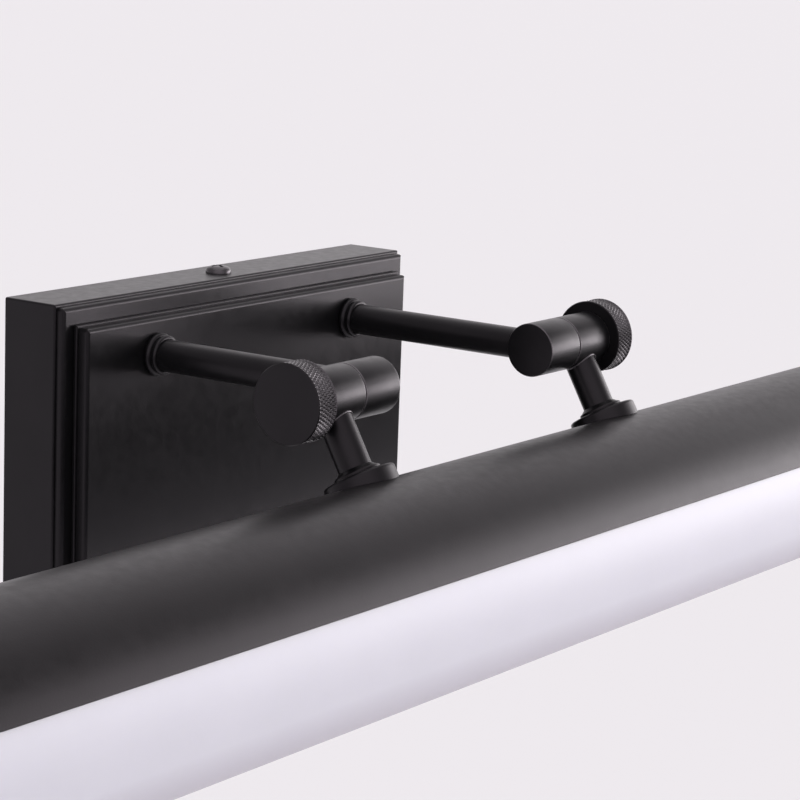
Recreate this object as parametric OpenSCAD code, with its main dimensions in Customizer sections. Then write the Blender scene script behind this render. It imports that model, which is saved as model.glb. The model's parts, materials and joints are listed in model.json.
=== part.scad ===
// Wall picture light: stepped canopy, two arms with knurled friction knuckles, round LED lamp.
// Origin: centre of the canopy on the wall. X along the lamp, -Y into the room, Z up. Millimetres.

/* [Canopy] */
// Overall width
canopy_width = 127; // [114:1:160]
// Overall height
canopy_height = 114; // [104:1:140]
// Depth of the box
box_depth = 16.2; // [15:0.1:30]
// Sheet thickness
sheet = 1.5; // [1.2:0.1:2.5]
// Radius of the box's sides
side_edge = 0.5; // [0.2:0.1:1.5]
// Depth of the lip around the front
lip_depth = 1.8; // [1.4:0.1:4]
// How far the lip steps in from the sides
lip_step = 0.7; // [0.2:0.1:1]
// Radius of the lip's edges
lip_edge = 1; // [0.3:0.1:1.2]
// Border left around the raised panel, at the top and bottom
panel_inset = 5.2; // [3:0.1:8]
// The same at the sides
panel_side_inset = 4.4; // [3:0.1:12]
// How far the panel stands proud
panel_rise = 3.8; // [2.5:0.1:8]
// Radius of the panel's edges
panel_edge = 0.9; // [0.3:0.1:1]
// How far the panel's foot stands out
panel_foot = 0.6; // [0.2:0.1:1.2]
// Shadow gap behind the panel's edge
shadow_gap = 0.4; // [0.1:0.1:0.8]

/* [Wall bracket] */
// Thickness of the plate
bracket_thick = 1.5; // [1:0.1:3]
// Width and height of the plate
bracket_size = 100; // [96:1:108]
// Distance between the centres of the two slots
slot_spacing = 79.4; // [60:0.1:82]
// Slot length, end to end
slot_length = 14.4; // [6:0.1:18]
// Slot width
slot_width = 4.6; // [3:0.1:6]
// Wire hole
wire_hole = 22; // [10:1:36]

/* [Arms] */
// Distance between the arms
arm_spacing = 72; // [56:1:100]
// Arm centre below the top of the canopy
arm_drop = 13.3; // [11:0.1:24]
// Arm diameter
arm_diameter = 7.2; // [6.6:0.1:8]
// Bore of the arm
arm_bore = 5; // [4.8:0.1:5.4]

/* [Knuckles] */
// Distance of the pivot from the wall
pivot_reach = 76; // [50:1:160]
// Barrel diameter
barrel_diameter = 12.4; // [12:0.1:15]
// Length of the barrel's fixed half, centred on the arm
base_length = 12.2; // [11.6:0.1:16]
// Length of the turning half
head_length = 13.2; // [12.4:0.1:18]
// Knob diameter
knob_diameter = 17.2; // [14:0.1:26]
// Knob length
knob_length = 6.1; // [4:0.1:14]
// Diameter of the pivot screw
pivot_screw_diameter = 4; // [3:0.1:5]
// Ridges around the knurl, each way
knurl_count = 32; // [16:2:40]

/* [Stems] */
// Seam to the stem's centre
stem_offset = 6; // [5.6:0.1:7]
// Stem diameter
stem_diameter = 7.3; // [6.8:0.1:8]
// Lean of the stems out from the wall, as drawn
tilt = 30; // [-45:1:120]
// Pivot to the top of the lamp
stem_length = 20.3; // [16:0.1:60]
// Saddle diameter
saddle_diameter = 15.8; // [13:0.1:20]

/* [Lamp] */
// Overall length
lamp_length = 460; // [400:5:900]
// Diameter
lamp_diameter = 46.2; // [44:0.1:52]
// Wall of the housing
housing_wall = 1.8; // [1.6:0.1:2]
// Wall of the diffuser
diffuser_wall = 1.6; // [1.4:0.1:1.8]
// Edge of the housing, degrees from the stems
housing_angle = 98.9; // [98:0.1:100]
// Thickness of the end caps
cap_thick = 3; // [2:0.1:8]
// Emitters on the board
chip_count = 48; // [12:1:56]

/* [Hidden] */
canopy_top = canopy_height / 2;
arm_x = arm_spacing / 2;
arm_z = canopy_top - arm_drop;
arm_r = arm_diameter / 2;
panel_front = box_depth + panel_rise;
barrel_r = barrel_diameter / 2;
channel_in = 3.4;
channel_out = 5;
screw_r = pivot_screw_diameter / 2;
knob_r = knob_diameter / 2;
saddle_r = saddle_diameter / 2;
saddle_neck_r = 5.1;
barrel_start = arm_x - base_length / 2;
barrel_seam = arm_x + base_length / 2;
barrel_end = barrel_seam + head_length;
knob_in = barrel_end + 0.1;
knob_out = knob_in + knob_length;
stem_x = barrel_seam + stem_offset;
stem_r = stem_diameter / 2;
stem_bore_r = 2.2;
stem_thread_r = 3;
lamp_r = lamp_diameter / 2;
stem_reach = stem_length + lamp_r;
facets = 96;
housing_length = lamp_length - 2 * cap_thick;
edge_z = lamp_r * cos(housing_angle);
web_z = 7;
web_thick = 2;
land_z = lamp_r - 2.7;
land_width = 14;
board_thick = 1.6;
board_width = 14;
board_length = housing_length - 8;
chip_width = 3.5;
chip_pitch = (board_length - 4 * chip_width) / (chip_count - 1);
gap_shift = chip_count % 2 / 2;
board_screw_x = [for (s = [-1.5 : 1.5])
  (round(s * board_length / 4 / chip_pitch - gap_shift) + gap_shift) * chip_pitch];
boss_y = lamp_r - 10.1;
boss_z = lamp_r - 9.5;
boss_r = 2.8;
lead_r = 0.55;
lead_hole_x = -stem_x - 13.9;
lead_hole_y = 9.6;
cover_screw_y = 8;
tab_width = 18;
tab_depth = 13;
tab_thick = 2;
ground_x = 22;
ground_z = 22;
driver_z = -34;
driver_length = 78;
driver_height = 24;
driver_depth = 11.5;
ear_length = 94;
ear_height = 10;
ear_thick = 1.8;
driver_screw_x = 43;
supply_lead_r = 0.8;
wire_y = -7;
connector_x = [16, 28, -12];

// Node to draw

$fn = 48;

// ---------- helpers ----------

// Rod along +Y, +X or Z, starting at the given place
module rod_y(x, y, z, r, h) translate([x, y, z]) rotate([-90, 0, 0]) cylinder(r = r, h = h);
module rod_x(x, y, z, r, h) translate([x, y, z]) rotate([0, 90, 0]) cylinder(r = r, h = h);

// Rectangle that starts at y = 0, with rounded corners at its far end
module rounded_end(w, d, r) {
  translate([-w / 2, 0]) square([w, d - r]);
  translate([-w / 2 + r, 0]) square([w - 2 * r, d]);
  for (s = [-1, 1]) translate([s * (w / 2 - r), d - r]) circle(r = r);
}

// Block that grows from y = 0 to y = -d, every edge rounded but the back ones
module block(w, h, d, r)
  intersection() {
    translate([0, 0, -h / 2]) mirror([0, 1, 0]) linear_extrude(h) rounded_end(w, d, r);
    translate([-w / 2, 0, 0]) rotate([0, 90, 0]) mirror([0, 1, 0]) linear_extrude(w)
      rounded_end(h, d, r);
    rotate([90, 0, 0]) linear_extrude(d) offset(r = r) square([w - 2 * r, h - 2 * r], center = true);
  }

// Turned bar along X from x0 to x1 with a bevel at each end
module turned_bar(x0, x1, r, bevel) {
  translate([x0, 0, 0]) rotate([0, 90, 0]) rotate_extrude()
    polygon([
      [0, 0], [r - bevel, 0], [r, bevel], [r, x1 - x0 - bevel], [r - bevel, x1 - x0], [0, x1 - x0]
    ]);
}

// Disc with a rounded upper edge
module rounded_disc(r, edge) rotate_extrude() {
  square([r - edge, edge]);
  intersection() {
    translate([r - edge, 0]) circle(r = edge);
    square([r, edge]);
  }
}

// Ring along X
module ring_x(x0, x1, r_in, r_out) {
  difference() {
    rod_x(x0, 0, 0, r_out, x1 - x0);
    rod_x(x0 - 1, 0, 0, r_in, x1 - x0 + 2);
  }
}

// Cross recess screw along Z: seat at z = 0, head above, shank below
module cross_screw(head_r, head_h, shank_r, length) {
  difference() {
    union() {
      rotate_extrude()
        polygon([[0, 0], [head_r, 0], [head_r, head_h * 0.45], [head_r * 0.72, head_h], [0, head_h]]);
      translate([0, 0, -length]) cylinder(r = shank_r, h = length + 0.1);
    }
    for (a = [0, 90])
      rotate([0, 0, a])
        translate([-head_r * 0.55, -head_r * 0.11, head_h * 0.35])
          cube([head_r * 1.1, head_r * 0.22, head_h]);
  }
}

// Flush screw along Z: top of the head at z = 0
module flush_screw(head_r, shank_r, length) {
  difference() {
    union() {
      translate([0, 0, shank_r - head_r]) cylinder(r1 = shank_r, r2 = head_r, h = head_r - shank_r);
      translate([0, 0, -length]) cylinder(r = shank_r, h = length + shank_r - head_r + 0.1);
    }
    for (a = [0, 90])
      rotate([0, 0, a]) translate([-head_r * 0.6, -0.3, -0.9]) cube([head_r * 1.2, 0.6, 1]);
  }
}

// Insulated wire through a list of points
module lead(points, r = lead_r)
  for (i = [0 : len(points) - 2])
    hull() {
      translate(points[i]) sphere(r = r, $fn = 8);
      translate(points[i + 1]) sphere(r = r, $fn = 8);
    }

// Points of a smooth curve that leaves a towards b and arrives at d from c
function curve(a, b, c, d, n) =
  [for (i = [0 : n]) let (t = i / n, u = 1 - t) u*u*u * a + 3*u*u*t * b + 3*u*t*t * c + t*t*t * d];

// The pivot's axis, and the lamp hung from it
module at_pivot() translate([0, -pivot_reach, arm_z]) children();
module hung() at_pivot() rotate([-tilt, 0, 0]) children();
module at_lamp() hung() translate([0, 0, -stem_reach]) children();

// ---------- canopy ----------

module canopy_cover() color("#1b1b1c")
  difference() {
    union() {
      block(canopy_width, canopy_height, box_depth - lip_depth, side_edge);
      translate([0, -box_depth + lip_depth + 0.4, 0])
        block(canopy_width - 2 * lip_step, canopy_height - 2 * lip_step, lip_depth + 0.4, lip_edge);
    }
    translate([-canopy_width / 2 + sheet, -box_depth + sheet, -canopy_top + sheet])
      cube([canopy_width - 2 * sheet, box_depth, canopy_height - 2 * sheet]);
    for (s = [-1, 1]) {
      rod_y(s * arm_x, -box_depth - 1, arm_z, arm_r + 0.1, 4);
      translate([0, -cover_screw_y, s * canopy_top]) cylinder(r = 1.7, h = 8, center = true);
    }
  }

module cover_panel() color("#1b1b1c") {
  w = canopy_width - 2 * panel_side_inset;
  h = canopy_height - 2 * panel_inset;
  g = shadow_gap;
  difference() {
    union() {
      translate([0, -box_depth - g, 0]) block(w, h, panel_rise - g, panel_edge);
      translate([0, -box_depth - g, 0]) block(w + 2 * panel_foot, h + 2 * panel_foot, 0.8, 0.3);
      translate([-w / 2 + g, -box_depth - g - 0.1, -h / 2 + g]) cube([w - 2 * g, g + 0.1, h - 2 * g]);
    }
    difference() {
      translate([-w / 2 + 2, -panel_front + sheet, -h / 2 + 2]) cube([w - 4, panel_rise, h - 4]);
      for (s = [-1, 1]) rod_y(s * arm_x, -panel_front, arm_z, 7, panel_rise + 1);
    }
    for (s = [-1, 1]) rod_y(s * arm_x, -panel_front - 1, arm_z, arm_r + 0.05, panel_rise + 2);
  }
}

module wall_bracket() color("#b9bbbd")
  difference() {
    union() {
      translate([-bracket_size / 2, -bracket_thick, -bracket_size / 2])
        cube([bracket_size, bracket_thick, bracket_size]);
      for (s = [-1, 1]) {
        z = canopy_top - sheet - 0.2;
        translate([-tab_width / 2, -bracket_thick, s > 0 ? 0 : -z]) cube([tab_width, bracket_thick, z]);
        translate([-tab_width / 2, -tab_depth, s > 0 ? z - tab_thick : -z])
          cube([tab_width, tab_depth, tab_thick]);
      }
    }
    for (s = [-1, 1]) {
      for (t = [-1, 1])
        rod_y(s * slot_spacing / 2 + t * (slot_length - slot_width) / 2, -3, 0, slot_width / 2, 4);
      translate([s * slot_spacing / 2 - (slot_length - slot_width) / 2, -3, -slot_width / 2])
        cube([slot_length - slot_width, 4, slot_width]);
      translate([0, -cover_screw_y, s * canopy_top]) cylinder(r = 1.5, h = 12, center = true);
      rod_y(s * driver_screw_x, -3, driver_z, 1.5, 4);
    }
    rod_y(0, -3, 0, wire_hole / 2, 4);
    rod_y(ground_x, -3, ground_z, 2, 4);
  }

module cover_screws() color("#1b1b1c")
  for (a = [0, 180])
    rotate([0, a, 0]) translate([0, -cover_screw_y, canopy_top]) rotate([0, 0, 20])
      cross_screw(3, 1.75, 1.45, 8);

module ground_screw() color("#3f7d3f")
  translate([ground_x, -bracket_thick - 0.6, ground_z]) rotate([90, 0, 0])
    cross_screw(3.6, 2.2, 1.95, 2.1);

// ---------- arms ----------

module arm(s) color("#1b1b1c") {
  y0 = -pivot_reach + barrel_r - 1.5;
  difference() {
    rod_y(s * arm_x, y0, arm_z, arm_r, -9.5 - y0);
    rod_y(s * arm_x, y0 - 1, arm_z, arm_bore / 2, -7.5 - y0);
  }
}
module arm_left() arm(-1);
module arm_right() arm(1);

module collar(s) color("#1b1b1c")
  translate([s * arm_x, -panel_front, arm_z]) rotate([90, 0, 0]) rotate_extrude()
    difference() {
      union() {
        translate([arm_r, 0]) square([0.5, 3.1]);
        translate([arm_r + 0.4, 0.85]) circle(r = 0.85);
        translate([arm_r + 0.2, 2.5]) circle(r = 0.65);
      }
      translate([0, -1]) square([arm_r + 0.02, 5]);
    }
module collar_left() collar(-1);
module collar_right() collar(1);

module arm_washers() color("#c8c9cb")
  for (s = [-1, 1]) difference() {
    rod_y(s * arm_x, -box_depth + sheet, arm_z, 6.6, 0.8);
    rod_y(s * arm_x, -box_depth + sheet - 1, arm_z, arm_r + 0.05, 3);
  }

module arm_nuts() color("#c8c9cb")
  for (s = [-1, 1]) difference() {
    translate([s * arm_x, -box_depth + sheet + 0.8, arm_z]) rotate([-90, 0, 0])
      cylinder(r = 6.35, h = 3, $fn = 6);
    rod_y(s * arm_x, -box_depth + sheet, arm_z, arm_r + 0.03, 5);
  }

// ---------- knuckles, drawn for the +X side ----------

module knuckle_base(s) color("#1b1b1c")
  at_pivot() mirror([s < 0 ? 1 : 0, 0, 0]) difference() {
    turned_bar(barrel_start, barrel_seam - 0.05, barrel_r, 0.35);
    ring_x(barrel_start + 2.7, barrel_seam + 1, channel_in, channel_out);
    rod_x(barrel_seam - 0.25, 0, 0, channel_in + 0.1, 1);
    rod_x(barrel_start + 3.5, 0, 0, screw_r + 0.06, 12);
    rod_y(arm_x, barrel_r - 1.5, 0, arm_r, 4);
    rod_y(arm_x, channel_in + 0.5, 0, arm_bore / 2, 4);
  }
module knuckle_base_left() knuckle_base(-1);
module knuckle_base_right() knuckle_base(1);

module friction_washers() color("#c9b48a")
  at_pivot() for (s = [0, 1]) mirror([s, 0, 0])
    ring_x(barrel_seam - 0.25, barrel_seam + 0.2, screw_r + 0.15, channel_in - 0.05);

module knuckle_head(s) color("#1b1b1c")
  hung() mirror([s < 0 ? 1 : 0, 0, 0]) difference() {
    turned_bar(barrel_seam + 0.1, barrel_end, barrel_r, 0.35);
    ring_x(barrel_seam - 1, barrel_end - 2.8, channel_in, channel_out);
    rod_x(barrel_seam - 1, 0, 0, channel_in + 0.1, 1.25);
    rod_x(barrel_seam, 0, 0, screw_r + 0.08, barrel_end - barrel_seam + 1);
    translate([stem_x, 0, -barrel_r - 3]) cylinder(r = stem_r, h = 4.5);
    translate([stem_x, 0, -barrel_r]) cylinder(r = stem_bore_r, h = barrel_r - channel_in - 0.4);
  }
module knuckle_head_left() knuckle_head(-1);
module knuckle_head_right() knuckle_head(1);

module knob(s) color("#1b1b1c")
  at_pivot() mirror([s < 0 ? 1 : 0, 0, 0]) difference() {
    translate([knob_in, 0, 0]) rotate([0, 90, 0]) knurled(knob_r, knob_length);
    rod_x(knob_in - 1, 0, 0, 4.6, 1.55);
    rod_x(knob_in, 0, 0, screw_r, knob_length - 1.5);
  }
module knob_left() knob(-1);
module knob_right() knob(1);

// Diamond knurl: two sets of grooves wound opposite ways, with bevelled rims
module knurled(r, h) {
  rim = 0.2;
  step = 360 / knurl_count;
  turn = step * 3.2;
  ridge = [for (i = [0 : knurl_count - 1]) for (k = [0, 1])
    let (a = (i + k / 2) * step, q = r - k * 0.4) [q * cos(a), q * sin(a)]];
  intersection() {
    linear_extrude(height = h, twist = turn, slices = 3) polygon(ridge);
    linear_extrude(height = h, twist = -turn, slices = 3) polygon(ridge);
    rotate_extrude($fn = 72)
      polygon([[0, 0], [r - rim, 0], [r + 0.01, rim], [r + 0.01, h - rim], [r - rim, h], [0, h]]);
  }
}

module pivot_screw(s) color("#c8c9cb")
  at_pivot() mirror([s < 0 ? 1 : 0, 0, 0])
    turned_bar(barrel_start + 4.2, knob_out - 1.5, screw_r, 0.4);
module pivot_screw_left() pivot_screw(-1);
module pivot_screw_right() pivot_screw(1);

module thrust_washer(s) color("#c9b48a")
  at_pivot() mirror([s < 0 ? 1 : 0, 0, 0])
    ring_x(barrel_end + 0.05, barrel_end + 0.6, screw_r + 0.12, 4.4);
module thrust_washer_left() thrust_washer(-1);
module thrust_washer_right() thrust_washer(1);

// ---------- stems ----------

module stem(s) color("#1b1b1c")
  hung() translate([s * stem_x, 0, 0]) difference() {
    union() {
      translate([0, 0, 1 - stem_length]) cylinder(r = stem_r, h = stem_length - barrel_r + 0.5);
      translate([0, 0, -stem_length - 7]) cylinder(r = stem_thread_r, h = 9);
    }
    translate([0, 0, -stem_length - 8]) cylinder(r = stem_bore_r, h = stem_length + 8);
  }
module stem_left() stem(-1);
module stem_right() stem(1);

module saddle(s) color("#1b1b1c")
  hung() translate([s * stem_x, 0, -stem_length]) difference() {
    union() {
      translate([0, 0, -2.7]) cylinder(r = saddle_r, h = 4.2);
      translate([0, 0, 1.5]) rounded_disc(saddle_r, 0.7);
      translate([0, 0, 2.1]) cylinder(r = saddle_neck_r, h = 0.6);
      translate([0, 0, 2.7]) rounded_disc(saddle_neck_r, 0.5);
      translate([0, 0, 3.1]) cylinder(r1 = saddle_neck_r - 0.4, r2 = stem_r + 0.1, h = 0.8);
    }
    rod_x(-20, 0, -lamp_r, lamp_r, 40);
    translate([0, 0, 1]) cylinder(r = stem_r + 0.02, h = 5);
    translate([0, 0, -4.7]) cylinder(r = stem_thread_r + 0.05, h = 8);
  }
module saddle_left() saddle(-1);
module saddle_right() saddle(1);

module stem_washers() color("#c8c9cb")
  for (s = [-1, 1]) hung() translate([s * stem_x, 0, land_z - stem_reach - 0.8]) difference() {
    cylinder(r = 5.6, h = 0.8);
    translate([0, 0, -1]) cylinder(r = stem_thread_r + 0.1, h = 3);
  }

module stem_nuts() color("#c8c9cb")
  for (s = [-1, 1]) hung() translate([s * stem_x, 0, land_z - stem_reach - 3.3]) difference() {
    cylinder(r = 5.5, h = 2.5, $fn = 6);
    translate([0, 0, -1]) cylinder(r = stem_thread_r + 0.03, h = 5);
  }

// ---------- lamp ----------

// Extrusion along X of a section drawn in Y and Z
module along_x(length) rotate([90, 0, 90]) translate([0, 0, -length / 2]) linear_extrude(length) children();

module housing_section() {
  difference() {
    circle(r = lamp_r, $fn = facets);
    difference() {
      circle(r = lamp_r - housing_wall, $fn = facets);
      translate([-land_width / 2, land_z]) square([land_width, 4]);
      translate([-lamp_r, web_z]) square([2 * lamp_r, web_thick]);
      for (s = [-1, 1]) {
        translate([s * boss_y, boss_z]) circle(r = boss_r);
        translate([s * (lamp_r - 2.9) - 2, -0.3]) square([4, 1.3]);
        translate([s * (lamp_r - 4.25) - 0.65, -2.6]) square([1.3, 3]);
      }
    }
    translate([-lamp_r - 1, -lamp_r - 1]) square([2 * lamp_r + 2, lamp_r + 1 + edge_z]);
    for (s = [-1, 1]) translate([s * boss_y, boss_z]) circle(r = 1.3);
  }
}

module lamp_housing() color("#1b1b1c")
  at_lamp() difference() {
    along_x(housing_length) housing_section();
    for (s = [-1, 1])
      translate([s * stem_x, 0, land_z - 5]) cylinder(r = stem_thread_r + 0.1, h = 10);
    translate([lead_hole_x, lead_hole_y, web_z - 1]) cylinder(r = 2, h = 4);
    for (x = board_screw_x) translate([x, 0, web_z - 1]) cylinder(r = 1.05, h = 4);
  }

module diffuser_section() {
  difference() {
    circle(r = lamp_r, $fn = facets);
    circle(r = lamp_r - diffuser_wall, $fn = facets);
    translate([-lamp_r - 1, edge_z - 0.1]) square([2 * lamp_r + 2, 2 * lamp_r]);
  }
  intersection() {
    circle(r = lamp_r - housing_wall - 0.1, $fn = facets);
    for (s = [-1, 1]) translate([s * (lamp_r - 2.7) - 0.75, edge_z - 2.6]) square([1.5, 5.4]);
  }
  intersection() {
    circle(r = lamp_r - 0.4, $fn = facets);
    for (s = [-1, 1]) translate([s * (lamp_r - 1.9) - 1.55, edge_z - 2.6]) square([3.1, 1.6]);
  }
}

module diffuser() color("#f1eff4")
  at_lamp() along_x(housing_length) diffuser_section();

module led_board() color("#e9ecee")
  at_lamp() difference() {
    translate([-board_length / 2, -board_width / 2, web_z - board_thick])
      cube([board_length, board_width, board_thick]);
    for (x = board_screw_x) translate([x, 0, web_z - board_thick - 1]) cylinder(r = 1.3, h = 4);
  }

module led_chips() color("#f3d67a")
  at_lamp() for (i = [0 : chip_count - 1])
    translate([(i - (chip_count - 1) / 2) * chip_pitch, 0, web_z - board_thick - 0.4])
      cube([chip_width, 2.8, 0.8], center = true);

module board_screws() color("#c8c9cb")
  at_lamp() for (x = board_screw_x)
    translate([x, 0, web_z - board_thick]) rotate([180, 0, 0]) cross_screw(1.9, 1.1, 1, 3.4);

module end_cap(s) color("#1b1b1c")
  at_lamp() mirror([s < 0 ? 1 : 0, 0, 0]) difference() {
    union() {
      translate([housing_length / 2, 0, 0]) rotate([0, 90, 0]) rotate_extrude($fn = facets)
        polygon([[0, 0], [lamp_r - 0.2, 0], [lamp_r, 0.2], [lamp_r, cap_thick - 0.7],
          [lamp_r - 0.7, cap_thick], [0, cap_thick]]);
      difference() {
        rod_x(housing_length / 2 - 3, 0, 0, lamp_r - diffuser_wall - 0.1, 3.1);
        rod_x(housing_length / 2 - 4, 0, 0, lamp_r - diffuser_wall - 1.7, 4);
        translate([0, -lamp_r, -7]) cube([lamp_length, 2 * lamp_r, 2 * lamp_r]);
      }
    }
    for (t = [-1, 1]) translate([0, t * boss_y, boss_z]) {
      rod_x(housing_length / 2 - 1, 0, 0, 1.5, 10);
      translate([lamp_length / 2 - 1.5, 0, 0]) rotate([0, 90, 0]) cylinder(r1 = 1.35, r2 = 2.86, h = 1.51);
    }
  }
module end_cap_left() end_cap(-1);
module end_cap_right() end_cap(1);

module end_cap_screws() color("#2a2a2b")
  at_lamp() for (s = [0, 1]) mirror([s, 0, 0]) for (t = [-1, 1])
    translate([lamp_length / 2 - 0.05, t * boss_y, boss_z]) rotate([0, 90, 0]) flush_screw(2.75, 1.25, 12);

// ---------- driver and wiring ----------

module driver() color("#e6e6e3")
  difference() {
    union() {
      translate([-driver_length / 2, -bracket_thick - driver_depth, driver_z - driver_height / 2])
        cube([driver_length, driver_depth, driver_height]);
      translate([-ear_length / 2, -bracket_thick - ear_thick, driver_z - ear_height / 2])
        cube([ear_length, ear_thick, ear_height]);
    }
    for (s = [-1, 1]) rod_y(s * driver_screw_x, -6, driver_z, 1.6, 8);
    for (s = [-1, 1]) rod_x(driver_length / 2 - 3, wire_y, driver_z + s * 8, supply_lead_r + 0.1, 4);
    for (s = [-1, 1]) rod_x(-driver_length / 2 - 1, wire_y + s * 1.6, driver_z + 4, lead_r + 0.15, 4);
  }

module driver_screws() color("#c8c9cb")
  for (s = [-1, 1])
    translate([s * driver_screw_x, -bracket_thick - ear_thick, driver_z]) rotate([90, 0, 0])
      cross_screw(2.7, 1.8, 1.45, 3.3);

// From the driver's right end, round it, and up into the first two connectors
module supply_leads() color("#d9d9d6")
  for (k = [0, 1]) {
    x = connector_x[k];
    y = -5 - k * 4;
    bend = 60 - k * 10;
    turn = [42, y, -13 + k * 2];
    z = driver_z - 8 + k * 16;
    lead(concat(
      [[37, wire_y, z]],
      curve([39, wire_y, z], [bend, wire_y, z], [bend, y, -14 + k * 2], turn, 8),
      curve(turn, [26 + k * 8, y, -12 + k * 2], [x, wire_y, -18], [x, wire_y, -3.5], 8)),
      supply_lead_r);
  }

module wire_connectors() color("#c98a2b")
  for (x = connector_x) translate([x, wire_y, -5])
    difference() {
      rotate_extrude() polygon([[0, 0], [3.6, 0], [3.8, 2], [2.6, 12], [1.8, 13.5], [0, 13.5]]);
      translate([0, 0, -1]) cylinder(r = 1.4, h = 9);
    }

module ground_lead() color("#4f8f4a") {
  x = connector_x[2];
  y = -bracket_thick;
  difference() {
    union() {
      rod_y(ground_x, y - 0.6, ground_z, 3.4, 0.6);
      translate([ground_x - 6.5, y - 0.6, ground_z - 1.2]) cube([5, 0.6, 2.4]);
    }
    rod_y(ground_x, y - 2, ground_z, 2, 4);
  }
  lead(concat(
    curve([ground_x - 5.4, y - 1.1, ground_z], [2, -3, 24], [-18, -4, 30], [-22, -6, 14], 10),
    curve([-22, -6, 14], [-25, -8, 0], [x, wire_y, -26], [x, wire_y, -4.5], 10)), supply_lead_r);
}

// From the driver's left end, up into the left arm and along it to the knuckle's seam
module output_leads() color("#b5352c")
  for (k = [-1, 1]) {
    x = -arm_x + k * 0.75;
    y = -pivot_reach + 4;
    lead(concat(
      [[-37, wire_y + k * 1.6, driver_z + 4]],
      curve([-39, wire_y + k * 1.6, driver_z + 4], [-56, wire_y + k * 1.6, driver_z + 4],
        [x, -3, arm_z], [x, -9, arm_z], 16),
      [[x, y + 1.2, arm_z], [x - 0.6, y + 0.3, arm_z + k * 0.6], [-arm_x - 1.8, y, arm_z + k * 0.6],
        [-barrel_seam + 0.6, y, arm_z + k * 0.6]]));
  }

// From the knuckle's seam, round its channel, down the left stem and through the housing's web
module lamp_leads() color("#b5352c")
  hung() for (k = [-1, 1]) {
    r = 4;
    x = -stem_x + k * 0.7;
    hole = lead_hole_x + k * 0.7;
    pad = lead_hole_x + k * 2;
    web = web_z - stem_reach;
    lead(concat(
      [[-barrel_seam - 0.65, r * cos(tilt) - k * 0.6 * sin(tilt), r * sin(tilt) + k * 0.6 * cos(tilt)]],
      [for (i = [0 : 6]) let (a = tilt - i * 20)
        [-stem_x + 3.2 - i * 0.55 + k * 0.6, r * cos(a), r * sin(a)]],
      [[x, 0, -5.6]],
      curve([x, 0, web + 8.9], [x, 0, web + 5.4], [hole, lead_hole_y, web + 5.4],
        [hole, lead_hole_y, web + 2.4], 8),
      curve([hole, lead_hole_y, web - 0.2], [hole, lead_hole_y, web - 3.6], [pad, 8, web - 3.6],
        [pad, 5.5, web - board_thick - 0.5], 5)));
  }

// ---------- draw ----------

canopy_cover();
cover_panel();
wall_bracket();
cover_screws();
ground_screw();
arm_left();
arm_right();
collar_left();
collar_right();
arm_washers();
arm_nuts();
knuckle_base_left();
knuckle_base_right();
friction_washers();
driver();
driver_screws();
supply_leads();
wire_connectors();
ground_lead();
output_leads();
knuckle_head_left();
knuckle_head_right();
stem_left();
stem_right();
saddle_left();
saddle_right();
stem_washers();
stem_nuts();
lamp_housing();
diffuser();
led_board();
led_chips();
board_screws();
end_cap_left();
end_cap_right();
end_cap_screws();
lamp_leads();
knob_left();
pivot_screw_left();
thrust_washer_left();
knob_right();
pivot_screw_right();
thrust_washer_right();
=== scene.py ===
# Looks of the wall picture light: materials, turned and knurled pieces, light and camera.
import json
import math

import bmesh
import bpy
from mathutils import Matrix, Vector


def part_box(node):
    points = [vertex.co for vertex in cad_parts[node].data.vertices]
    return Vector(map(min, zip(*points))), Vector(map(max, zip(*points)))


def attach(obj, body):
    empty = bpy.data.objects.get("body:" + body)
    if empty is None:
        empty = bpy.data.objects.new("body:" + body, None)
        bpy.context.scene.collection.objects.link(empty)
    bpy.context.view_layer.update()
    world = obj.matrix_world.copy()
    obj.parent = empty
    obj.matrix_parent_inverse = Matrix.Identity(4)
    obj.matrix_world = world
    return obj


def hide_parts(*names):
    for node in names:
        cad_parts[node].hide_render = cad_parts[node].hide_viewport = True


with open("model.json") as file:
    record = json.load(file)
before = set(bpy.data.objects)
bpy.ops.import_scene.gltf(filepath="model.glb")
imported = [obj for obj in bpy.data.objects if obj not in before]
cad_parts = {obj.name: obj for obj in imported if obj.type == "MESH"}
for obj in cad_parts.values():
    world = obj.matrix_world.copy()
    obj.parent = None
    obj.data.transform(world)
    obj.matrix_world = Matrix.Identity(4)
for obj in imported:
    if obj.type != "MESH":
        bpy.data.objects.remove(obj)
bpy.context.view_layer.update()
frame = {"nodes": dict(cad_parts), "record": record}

scene = bpy.context.scene
MM = 0.001
SIDES = ("left", "right")
# Middle of the axis on which the lamp tilts, and the way that its stems point from there
PIVOT = Vector((0.0, -76.0 * MM, 43.7 * MM))
LEAN = Matrix.Rotation(math.radians(-30), 3, "X")
STEM_WAY = LEAN @ Vector((0.0, 0.0, -1.0))


# ---------- camera ----------

def add_camera():
    """Camera at the photograph's angle, from the left, a little above the light."""
    place = (-0.5104, -0.4191, 0.1551)
    focal_length = 127.12
    yaw, pitch, roll = math.radians(54.957), math.radians(-10.984), math.radians(2.058)
    forward = Vector((math.sin(yaw) * math.cos(pitch), math.cos(yaw) * math.cos(pitch), math.sin(pitch)))
    level = Vector((math.cos(yaw), -math.sin(yaw), 0.0))
    raised = level.cross(forward)
    right = level * math.cos(roll) + raised * math.sin(roll)
    up = raised * math.cos(roll) - level * math.sin(roll)
    data = bpy.data.cameras.new("camera")
    data.sensor_width = 36.0
    data.lens = focal_length
    data.clip_start = 0.01
    data.clip_end = 400.0
    camera = bpy.data.objects.new("camera", data)
    turn = Matrix((right, up, -forward)).transposed().to_4x4()
    camera.matrix_world = Matrix.Translation(place) @ turn
    scene.collection.objects.link(camera)
    scene.camera = camera


add_camera()


# ---------- shared by the materials and the world ----------

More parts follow.
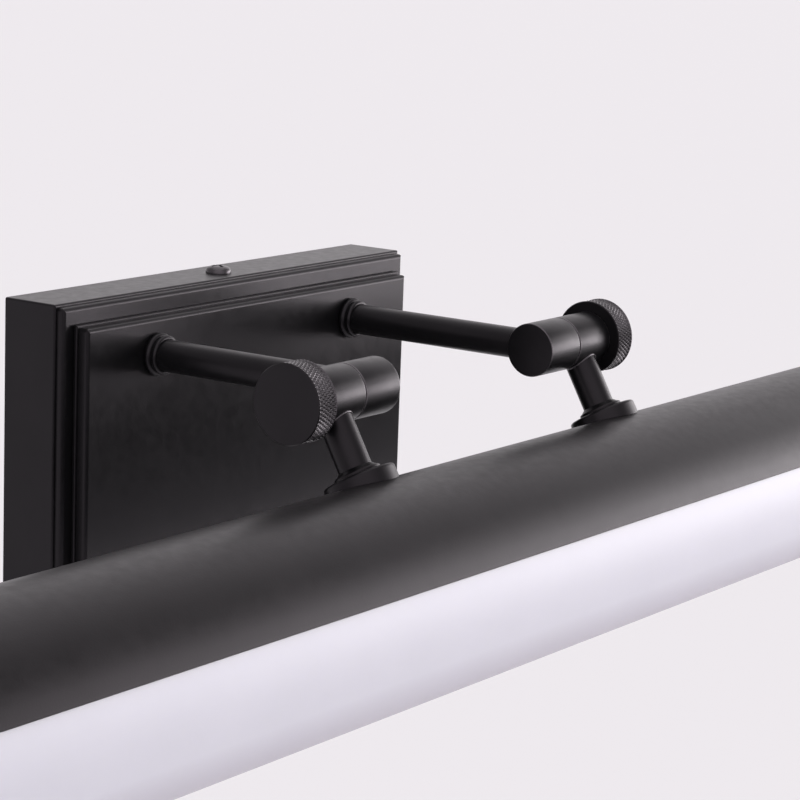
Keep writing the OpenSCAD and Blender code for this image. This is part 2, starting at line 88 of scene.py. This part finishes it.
def map_range(tree, out, low, high, a, b, smooth=False):
    """Value that runs from a to b while the input runs from low to high."""
    node = tree.nodes.new("ShaderNodeMapRange")
    if smooth:
        node.interpolation_type = "SMOOTHSTEP"
    for name, value in (("From Min", low), ("From Max", high), ("To Min", a), ("To Max", b)):
        node.inputs[name].default_value = value
    tree.links.new(out, node.inputs["Value"])
    return node.outputs["Result"]


def along(tree, out, direction):
    """How far a point lies along a direction."""
    node = tree.nodes.new("ShaderNodeVectorMath")
    node.operation = "DOT_PRODUCT"
    tree.links.new(out, node.inputs[0])
    node.inputs[1].default_value = direction
    return node.outputs["Value"]


# ---------- materials ----------

class Nodes:
    """A material's node tree, with short calls for the nodes used here."""

    def __init__(self, name):
        self.material = bpy.data.materials.new(name)
        self.material.use_nodes = True
        self.tree = self.material.node_tree
        self.shader = self.tree.nodes["Principled BSDF"]
        self.where = self.tree.nodes.new("ShaderNodeTexCoord").outputs["Object"]

    def link(self, out, socket):
        self.tree.links.new(out, socket)

    def drive(self, name, out):
        self.link(out, self.shader.inputs[name])

    def set(self, **values):
        for name, value in values.items():
            self.shader.inputs[name.replace("_", " ")].default_value = value

    def noise(self, scale, detail, stretch=(1, 1, 1)):
        spread = self.tree.nodes.new("ShaderNodeMapping")
        spread.inputs["Scale"].default_value = stretch
        self.link(self.where, spread.inputs["Vector"])
        node = self.tree.nodes.new("ShaderNodeTexNoise")
        for name, value in (("Scale", scale), ("Detail", detail), ("Roughness", 0.55)):
            node.inputs[name].default_value = value
        self.link(spread.outputs["Vector"], node.inputs["Vector"])
        return node.outputs["Fac"]

    def ramp(self, out, low, high, a, b):
        return map_range(self.tree, out, low, high, a, b)

    def mix(self, fac, a, b):
        """Blend of two colours, each given as numbers or as another node's output."""
        node = self.tree.nodes.new("ShaderNodeMix")
        node.data_type = "RGBA"
        self.link(fac, node.inputs["Factor"])
        for socket, value in ((node.inputs["A"], a), (node.inputs["B"], b)):
            if isinstance(value, tuple):
                socket.default_value = (*value, 1.0)
            else:
                self.link(value, socket)
        return node.outputs["Result"]

    def bump(self, heights):
        """Bumps from (height, depth in metres) pairs, laid over each other."""
        normal = None
        for height, depth in heights:
            node = self.tree.nodes.new("ShaderNodeBump")
            node.inputs["Strength"].default_value = 1.0
            node.inputs["Distance"].default_value = depth
            self.link(height, node.inputs["Height"])
            if normal is not None:
                self.link(normal, node.inputs["Normal"])
            normal = node.outputs["Normal"]
        self.drive("Normal", normal)


def satin_black(name, dark, light, rough, grain, ior=1.3):
    """Black powder coat: a fine grain over slow waves, with faint clouds in its colour and gloss."""
    n = Nodes(name)
    n.set(IOR=ior, Specular_Tint=(1.0, 0.90, 0.99, 1.0))
    cloud = n.ramp(n.noise(55, 5), 0.35, 0.65, 0.0, 1.0)
    n.drive("Base Color", n.mix(cloud, dark, light))
    n.drive("Roughness", n.ramp(n.noise(420, 4), 0.3, 0.7, *rough))
    n.bump([(n.noise(90, 2), 0.03 * MM), (n.noise(2400, 3), grain)])
    return n.material


def opal():
    """Frosted diffuser, with painted shade: its colour is darker along the line farthest from the stems.
    """
    n = Nodes("opal")
    n.set(Roughness=0.5, IOR=1.4, Subsurface_Weight=0.6, Subsurface_Scale=1.0,
          Subsurface_Radius=(0.004, 0.004, 0.0045))
    pivot_depth = PIVOT.dot(STEM_WAY)
    # Painted shade along the underside: across this band, measured along the stems' way from the pivot,
    # the base colour turns from pale to the darker shade colour.
    shade_from, shade_to = 61.5 * MM, 66.5 * MM
    depth = along(n.tree, n.where, STEM_WAY)
    painted_shade = n.ramp(depth, pivot_depth + shade_from, pivot_depth + shade_to, 0.0, 1.0)
    pale = n.mix(n.noise(40, 3), (0.54, 0.54, 0.595), (0.575, 0.573, 0.632))
    shade_colour = n.mix(n.noise(60, 3), (0.425, 0.408, 0.458), (0.44, 0.422, 0.472))
    n.drive("Base Color", n.mix(painted_shade, pale, shade_colour))
    n.bump([(n.noise(30, 2), 0.03 * MM)])
    return n.material


def metal(name, dark, light, rough):
    """Bare metal with marks drawn out in one direction."""
    n = Nodes(name)
    n.set(Metallic=1.0)
    n.drive("Base Color", n.mix(n.noise(300, 4, stretch=(1, 1, 6)), dark, light))
    n.drive("Roughness", n.ramp(n.noise(700, 4), 0.3, 0.7, rough, rough + 0.14))
    n.bump([(n.noise(1500, 3, stretch=(1, 1, 8)), 0.01 * MM)])
    return n.material


def plastic(name, dark, light, rough):
    """Moulded plastic, lacquer or wire covering."""
    n = Nodes(name)
    n.set(IOR=1.46)
    n.drive("Base Color", n.mix(n.noise(90, 4), dark, light))
    n.drive("Roughness", n.ramp(n.noise(500, 3), 0.3, 0.7, rough, rough + 0.1))
    n.bump([(n.noise(1800, 3), 0.012 * MM)])
    return n.material


# name, dark, light, roughness, grain, index of refraction
BLACKS = (
    ("black_metal", (0.0032, 0.0032, 0.0036), (0.0050, 0.0049, 0.0054), (0.29, 0.36), 0.010 * MM, 1.3),
    ("black_aluminium", (0.0040, 0.0038, 0.0040), (0.0062, 0.0058, 0.0062), (0.33, 0.40), 0.012 * MM, 1.3),
    # black_rim: a lighter, glossier copy of black_metal for the knuckle rims and stem beads; its lighter
    # colour is a painted glint.
    ("black_rim", (0.030, 0.028, 0.030), (0.060, 0.057, 0.060), (0.2, 0.3), 0.005 * MM, 1.6),
    # black_knurl: a lighter, glossier copy of black_metal for the knurled bands and the screw heads; its
    # lighter colour is painted sheen on the ridges and domes.
    ("black_knurl", (0.014, 0.0135, 0.0145), (0.026, 0.025, 0.026), (0.22, 0.30), 0.006 * MM, 1.6),
)
# name, dark, light, roughness
METALS = (
    ("zinc", (0.40, 0.42, 0.45), (0.60, 0.61, 0.62), 0.26),
    ("brass", (0.60, 0.43, 0.18), (0.74, 0.57, 0.27), 0.25),
)
PLASTICS = (
    ("ground_green", (0.03, 0.22, 0.06), (0.05, 0.30, 0.09), 0.3),
    ("board_white", (0.78, 0.79, 0.80), (0.86, 0.87, 0.87), 0.35),
    ("phosphor", (0.86, 0.62, 0.12), (0.92, 0.70, 0.18), 0.25),
    ("case_white", (0.74, 0.74, 0.72), (0.80, 0.80, 0.77), 0.38),
    ("cap_orange", (0.72, 0.27, 0.04), (0.80, 0.33, 0.06), 0.3),
    ("wire_white", (0.74, 0.74, 0.72), (0.80, 0.80, 0.78), 0.4),
    ("wire_green", (0.05, 0.27, 0.07), (0.08, 0.34, 0.10), 0.4),
    ("wire_red", (0.45, 0.03, 0.02), (0.56, 0.05, 0.03), 0.4),
)

MATERIALS = {row[0]: satin_black(*row) for row in BLACKS}
MATERIALS["opal"] = opal()
MATERIALS.update({row[0]: metal(*row) for row in METALS})
MATERIALS.update({row[0]: plastic(*row) for row in PLASTICS})

slot_of = {part["node"]: part["material_slot"] for part in frame["record"]["subparts"]}
for name, node in frame["nodes"].items():
    node.data.materials.clear()
    node.data.materials.append(MATERIALS[slot_of[name]])


# ---------- shared by the turned pieces ----------

def around(bm, steps, place):
    """One ring of points: place(i, angle) gives each of them."""
    return [bm.verts.new(place(i, 2 * math.pi * i / steps)) for i in range(steps)]


def skin(bm, rings, smooth=False):
    """Quads between neighbouring rings. A ring of a single point makes triangles."""
    steps = max(len(ring) for ring in rings)
    for one, two in zip(rings, rings[1:]):
        for i in range(steps):
            j = (i + 1) % steps
            corners = [one[i % len(one)], one[j % len(one)], two[j % len(two)], two[i % len(two)]]
            bm.faces.new(list(dict.fromkeys(corners))).smooth = smooth


def close(bm, ring, tip):
    """Fan of triangles from a ring to a point."""
    centre = bm.verts.new(tip)
    for i in range(len(ring)):
        bm.faces.new((ring[i], ring[(i + 1) % len(ring)], centre))


def soften(bm):
    """Smooth shading everywhere but over edges sharper than 35 degrees."""
    for face in bm.faces:
        face.smooth = True
    for edge in bm.edges:
        if edge.calc_face_angle(0.0) > math.radians(35):
            edge.smooth = False


def make_object(bm, name, materials):
    """Turns the mesh being built into an object in the scene."""
    mesh = bpy.data.meshes.new(name)
    bm.to_mesh(mesh)
    bm.free()
    piece = bpy.data.objects.new(name, mesh)
    scene.collection.objects.link(piece)
    for material in materials:
        mesh.materials.append(MATERIALS[material])
    return piece


# ---------- knurled knobs ----------

def knurled_knob(side):
    """Turned knob with a diamond knurl, two crossing sets of V grooves, between two bevelled rims."""
    node = "knob_" + side
    low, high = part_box(node)
    inner, outer = (low.x, high.x) if side == "right" else (high.x, low.x)
    axis_y, axis_z = (low.y + high.y) / 2, (low.z + high.z) / 2
    radius, length = 8.6 * MM, abs(outer - inner)
    back_r, front_r, bevel = 4.2 * MM, 0.3 * MM, 0.2 * MM
    ridges, per_ridge, rows = 60, 8, 52
    groove_depth, fade = 0.36 * MM, 0.07
    helix = math.tan(math.radians(30))
    band = length - 2 * bevel
    twist = band / (2 * math.pi * radius / ridges) * helix
    steps = ridges * per_ridge

    def groove(turn, t):
        """Depth of the knurl at a share of a turn and of the band, none at the band's ends."""
        nearest = min(abs((turn * ridges + s * twist * t) % 1.0 - 0.5) * 2 for s in (-1, 1))
        return groove_depth * (1 - nearest) * min(1.0, t / fade, (1 - t) / fade)

    profile = [(0.0, back_r, False), (0.0, radius - bevel, False)]
    profile += [(bevel + band * k / rows, radius, True) for k in range(rows + 1)]
    profile += [(length, radius - bevel, False), (length, front_r, False)]
    bm = bmesh.new()
    rings = []
    for reach, r, cut in profile:
        t = (reach - bevel) / band
        x = inner + (outer - inner) * reach / length

        def place(i, angle):
            depth = groove(i / steps, t) if cut else 0.0
            return (x, axis_y + (r - depth) * math.cos(angle), axis_z + (r - depth) * math.sin(angle))

        rings.append(around(bm, steps, place))
    skin(bm, rings)
    close(bm, rings[0], (inner, axis_y, axis_z))
    close(bm, rings[-1], (outer, axis_y, axis_z))
    bmesh.ops.recalc_face_normals(bm, faces=bm.faces)
    knob = make_object(bm, "knurled_" + side, ("black_metal", "black_knurl"))
    # Painted sheen: the knurled band between the rims takes the lighter black_knurl coat.
    for polygon in knob.data.polygons:
        if bevel < abs(polygon.center.x - inner) < length - bevel:
            polygon.material_index = 1
    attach(knob, "thumb_screw_" + side)
    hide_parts(node)


for side in SIDES:
    knurled_knob(side)


# ---------- knuckles ----------

KNUCKLE_R = 6.2 * MM


def rounded_bar(x0, x1, radius, edge, steps=5):
    """Profile of a turned bar whose two rims are rounded: (x, radius) pairs."""
    turns = [math.pi / 2 * k / steps for k in range(steps + 1)]
    inward = [(edge * (1 - math.sin(a)), radius - edge * (1 - math.cos(a))) for a in reversed(turns)]
    start = [(x0, 0.0)] + [(x0 + reach, r) for reach, r in inward]
    return start + [(x1 - reach, r) for reach, r in reversed(inward)] + [(x1, 0.0)]


def barrel(node, body):
    """One half of a knuckle, with soft rims in the lighter black_rim coat, a painted glint on the rims."""
    low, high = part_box(node)
    edge, glint_from, steps = 0.32 * MM, 0.07 * MM, 96
    bm = bmesh.new()
    rings = []
    for x, r in rounded_bar(low.x, high.x, KNUCKLE_R, edge):
        def place(i, angle):
            return (x, PIVOT.y + r * math.cos(angle), PIVOT.z + r * math.sin(angle))

        rings.append(around(bm, steps if r else 1, place))
    skin(bm, rings)
    bmesh.ops.recalc_face_normals(bm, faces=bm.faces)
    soften(bm)
    piece = make_object(bm, "turned_" + node, ("black_metal", "black_rim"))
    # Painted glint: the faces of the rounded rims take the lighter black_rim coat.
    for polygon in piece.data.polygons:
        inside = min(polygon.center.x - low.x, high.x - polygon.center.x)
        if glint_from < inside < edge:
            polygon.material_index = 1
    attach(piece, body)
    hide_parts(node)


def stem_bead(side):
    """Fine bead where the stem is let into the turning half of its knuckle, in the lighter black_rim coat:
    a painted glint along it.
    """
    stem_x = 48.1 * MM * (-1 if side == "left" else 1)
    stem_r, bead_r = 3.66 * MM, 0.26 * MM
    steps, bead_steps = 72, 10
    bm = bmesh.new()
    loops = []
    for i in range(steps):
        a = 2 * math.pi * i / steps
        out = Vector((math.cos(a), math.sin(a), 0.0))
        y = stem_r * math.sin(a)
        centre = Vector((stem_x + stem_r * math.cos(a), y, -math.sqrt(KNUCKLE_R ** 2 - y ** 2)))

        def place(k, angle):
            way = math.cos(angle) * out + math.sin(angle) * Vector((0.0, 0.0, 1.0))
            return PIVOT + LEAN @ (centre + bead_r * way)

        loops.append(around(bm, bead_steps, place))
    skin(bm, loops + loops[:1], smooth=True)
    bmesh.ops.recalc_face_normals(bm, faces=bm.faces)
    bead = make_object(bm, "stem_bead_" + side, ("black_rim",))
    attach(bead, "lamp")


for side in SIDES:
    barrel("knuckle_base_" + side, "wall_unit")
    barrel("knuckle_head_" + side, "lamp")
for side in SIDES:
    stem_bead(side)


# ---------- cover screws ----------

def cover_screws():
    """Two pan head screws with domed heads and cross recesses, above and below the canopy."""
    low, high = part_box("cover_screws")
    centre_x, centre_y = (low.x + high.x) / 2, (low.y + high.y) / 2
    seat = 57.0 * MM
    head_r, head_h, rim_h, dome_power = 3.0 * MM, 1.75 * MM, 0.35 * MM, 2.6
    shank_r, shank_length, tip_bevel = 1.45 * MM, 8.0 * MM, 0.3 * MM
    half_slot, slot_reach, slot_depth = 0.34 * MM, 1.75 * MM, 1.0 * MM
    slot_turn = math.radians(22)
    steps, dome_rings = 96, 30

    def recess(r, angle):
        """Depth of the cross recess at a point of the head."""
        turned = angle + slot_turn
        u, v = abs(r * math.cos(turned)), abs(r * math.sin(turned))
        return slot_depth if min(u, v) < half_slot and max(u, v) < slot_reach else 0.0

    tip = -shank_length
    profile = [(tip, shank_r - tip_bevel, False), (tip + tip_bevel, shank_r, False),
               (0.0, shank_r, False), (0.0, head_r, False), (rim_h, head_r, False)]
    for k in range(dome_rings):
        t = 1 - (k + 1) / (dome_rings + 1)
        profile.append((rim_h + (head_h - rim_h) * math.sqrt(1 - t ** dome_power), head_r * t, True))
    bm = bmesh.new()
    for sign in (1, -1):
        rings = []
        for reach, r, dome in profile:
            def place(i, angle):
                height = reach - (recess(r, angle) if dome else 0.0)
                return (centre_x + r * math.cos(angle), centre_y + r * math.sin(angle),
                        sign * (seat + height))

            rings.append(around(bm, steps, place))
        skin(bm, rings)
        close(bm, rings[0], (centre_x, centre_y, sign * (seat + tip)))
        close(bm, rings[-1], (centre_x, centre_y, sign * (seat + head_h - slot_depth)))
    bmesh.ops.recalc_face_normals(bm, faces=bm.faces)
    soften(bm)
    # The screw heads take the lighter black_knurl coat: painted sheen on the domes.
    screws = make_object(bm, "pan_head_screws", ("black_knurl",))
    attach(screws, "wall_unit")
    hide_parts("cover_screws")


cover_screws()


# ---------- floor and light ----------

LIGHT_COLOUR = (1.0, 0.965, 0.98)
# name, place, size, power
SOFTBOXES = (
    ("front_high", (1.28, -0.98, 0.30), (1.1, 1.0), 5.6),
    ("front_low", (1.28, -0.78, 0.10), (0.8, 0.5), 5.4),
    ("front_left", (1.20, -1.30, 0.0), (0.8, 0.7), 5.9),
    ("right", (1.75, -0.35, 0.25), (1.2, 0.8), 7.4),
)
# direction, half angle in degrees, strength
GLOWS = (
    ((0.70, 0.35, 0.55), 42, 0.73),
    ((-0.70, -0.60, 0.40), 60, 0.88),
)


def add_floor():
    radius, level = 120.0, -2.4
    bm = bmesh.new()
    bmesh.ops.create_circle(bm, cap_ends=True, radius=radius, segments=96)
    mesh = bpy.data.meshes.new("floor")
    bm.to_mesh(mesh)
    bm.free()
    material = bpy.data.materials.new("floor")
    material.use_nodes = True
    shader = material.node_tree.nodes["Principled BSDF"]
    shader.inputs["Base Color"].default_value = (0.85, 0.845, 0.858, 1.0)
    shader.inputs["Roughness"].default_value = 0.9
    mesh.materials.append(material)
    floor = bpy.data.objects.new("floor", mesh)
    floor.location.z = level
    scene.collection.objects.link(floor)


def add_world():
    """Pale surroundings, brighter low down, to the right behind and to the left in front."""
    world = bpy.data.worlds.new("studio")
    world.use_nodes = True
    tree = world.node_tree
    where = tree.nodes.new("ShaderNodeTexCoord").outputs["Generated"]
    parts = tree.nodes.new("ShaderNodeSeparateXYZ")
    tree.links.new(where, parts.inputs["Vector"])
    total = map_range(tree, parts.outputs["Z"], 0.0, 0.16, 0.86, 0.53, smooth=True)
    for direction, half_angle, strength in GLOWS:
        nearness = along(tree, where, Vector(direction).normalized())
        edge = math.cos(math.radians(half_angle))
        add = tree.nodes.new("ShaderNodeMath")
        tree.links.new(map_range(tree, nearness, edge, 1.0, 0.0, strength, smooth=True), add.inputs[0])
        tree.links.new(total, add.inputs[1])
        total = add.outputs["Value"]
    background = tree.nodes["Background"]
    background.inputs["Color"].default_value = (1.0, 0.955, 0.985, 1.0)
    tree.links.new(total, background.inputs["Strength"])
    scene.world = world


def add_overhead():
    """Wide soft light from straight above."""
    data = bpy.data.lights.new("overhead", "SUN")
    data.energy = 0.65
    data.angle = math.radians(60)
    scene.collection.objects.link(bpy.data.objects.new("overhead", data))


def add_softbox(name, place, size, power):
    """Rectangular light that the camera doesn't see, turned towards the object."""
    target = Vector((0.0, -0.08, 0.02))
    data = bpy.data.lights.new(name, "AREA")
    data.shape = "RECTANGLE"
    data.size, data.size_y = size
    data.energy = power
    data.color = LIGHT_COLOUR
    softbox = bpy.data.objects.new(name, data)
    softbox.location = place
    softbox.rotation_euler = (target - Vector(place)).to_track_quat("-Z", "Y").to_euler()
    softbox.visible_camera = False
    scene.collection.objects.link(softbox)


add_floor()
add_world()
add_overhead()
for row in SOFTBOXES:
    add_softbox(*row)
scene.view_settings.view_transform = "Standard"
